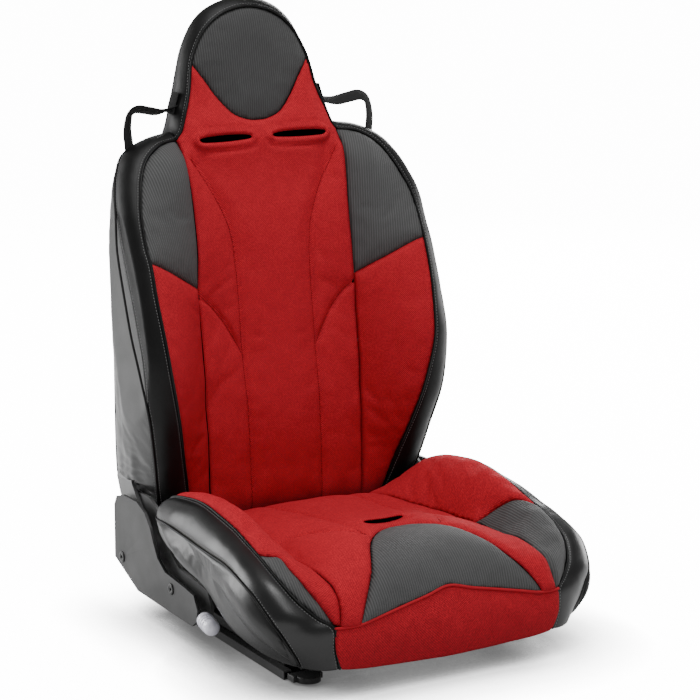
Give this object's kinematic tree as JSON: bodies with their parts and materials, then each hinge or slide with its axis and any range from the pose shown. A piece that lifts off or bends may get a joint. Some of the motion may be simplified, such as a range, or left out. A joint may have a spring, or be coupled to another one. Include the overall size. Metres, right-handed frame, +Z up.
{
  "type": "racing seat",
  "caption": "Reclining suspension race seat: tubular frame on slide rails, bolstered fabric cushion and back with head pad, belt slots, recline lever and slide release.",
  "frame": {"origin": "centre of the four floor-bolt holes, on the underside of the lower slide rails", "axes": "+Z up, the seat faces -Y, +X towards the occupant's left hand"},
  "size_m": [0.608, 0.727, 1.012],
  "materials": {
    "rail_steel": "semi-gloss black paint, bare bright running edges",
    "nylon": "self-coloured nylon",
    "frame_paint": "satin black powder coat",
    "zinc_fasteners": "dull zinc",
    "suspension_webbing": "woven black webbing",
    "spring_steel": "oiled spring steel",
    "red_tweed": "woven red tweed",
    "grey_rib": "ribbed dark grey fabric",
    "black_vinyl": "grained semi-gloss vinyl",
    "grey_plate_paint": "satin grey paint",
    "black_plate_paint": "black paint",
    "hardened_steel": "hardened, oiled",
    "bronze": "sintered bronze",
    "white_plastic": "glossy moulded grip",
    "black_rubber": "moulded sleeve",
    "webbing": "flat woven nylon webbing"
  },
  "bodies": {
    "rails": {"lower_rail_left": "rail_steel", "lower_rail_right": "rail_steel", "latch_racks": "rail_steel"},
    "seat": {"upper_rail_left": "rail_steel", "upper_rail_right": "rail_steel", "slide_shoes": "nylon", "base_side_tube_left": "frame_paint", "base_side_tube_right": "frame_paint", "base_cross_tubes": "frame_paint", "frame_bolts": "zinc_fasteners", "recliner_outriggers": "frame_paint", "latch_brackets": "rail_steel", "seat_suspension_mat": "suspension_webbing", "seat_mat_hooks": "spring_steel", "seat_insert_pad": "red_tweed", "seat_nose_pad": "red_tweed", "seat_bolster_left": "red_tweed", "seat_bolster_right": "red_tweed", "recliner_outer_plate_left": "grey_plate_paint", "recliner_outer_plate_right": "grey_plate_paint", "recliner_inner_plate_left": "black_plate_paint", "recliner_inner_plate_right": "black_plate_paint", "recliner_plate_screws": "zinc_fasteners", "recliner_plate_spacers": "zinc_fasteners", "recliner_plate_nuts": "zinc_fasteners", "recliner_pivot_pins": "hardened_steel", "pawl_pins": "hardened_steel", "lever_return_spring": "spring_steel"},
    "backrest": {"recliner_arm_left": "black_plate_paint", "recliner_arm_right": "black_plate_paint", "recliner_sectors": "hardened_steel", "recliner_bushes": "bronze", "arm_bolts": "zinc_fasteners", "back_side_tube_left": "frame_paint", "back_side_tube_right": "frame_paint", "back_cross_tubes": "frame_paint", "head_hoop_tube": "frame_paint", "back_suspension_mat": "suspension_webbing", "back_mat_hooks": "spring_steel", "back_insert_pad": "red_tweed", "back_wing_left": "red_tweed", "back_wing_right": "red_tweed", "back_gusset_left": "black_vinyl", "back_gusset_right": "black_vinyl", "shoulder_yoke": "red_tweed", "head_pad": "grey_rib", "rear_cover": "black_vinyl", "belt_guide_loop_left": "webbing", "belt_guide_loop_right": "webbing"},
    "recline_release": {"recline_lever_blade": "black_plate_paint", "recline_lever_knob": "white_plastic", "recline_cross_shaft": "hardened_steel", "release_cams": "hardened_steel"},
    "pawls": {"recliner_pawls": "hardened_steel"},
    "slide_release": {"latch_tongues": "black_plate_paint", "slide_latch_bar": "black_plate_paint", "slide_release_lever": "black_plate_paint", "slide_release_grip": "black_rubber"}
  },
  "joints": [
    {"name": "seat_slide", "type": "slide", "parent": "rails", "child": "seat", "axis": [0, -1, 0], "range_m": [0, 0.15]},
    {"name": "recline", "type": "hinge", "parent": "seat", "child": "backrest", "pos_m": [0, 0.24, 0.152], "axis": [-1, 0, 0], "range_deg": [-4, 45]},
    {"name": "recline_lever", "type": "hinge", "parent": "seat", "child": "recline_release", "pos_m": [0, 0.12, 0.073], "axis": [-1, 0, 0], "range_deg": [0, 12], "stiffness_Nm_per_rad": 2, "springref_deg": -20.05},
    {"name": "pawl_lift", "type": "hinge", "parent": "seat", "child": "pawls", "pos_m": [0, 0.225, 0.081], "axis": [1, 0, 0], "range_deg": [0, 8.5]},
    {"name": "slide_lever", "type": "hinge", "parent": "seat", "child": "slide_release", "pos_m": [0, 0.09, 0.022], "axis": [-1, 0, 0], "range_deg": [0, 3.5], "stiffness_Nm_per_rad": 6, "springref_deg": -11.46}
  ],
  "couplings": [
    {"joint": "pawl_lift", "follows": "recline_lever", "ratio": 0.6667}
  ]
}
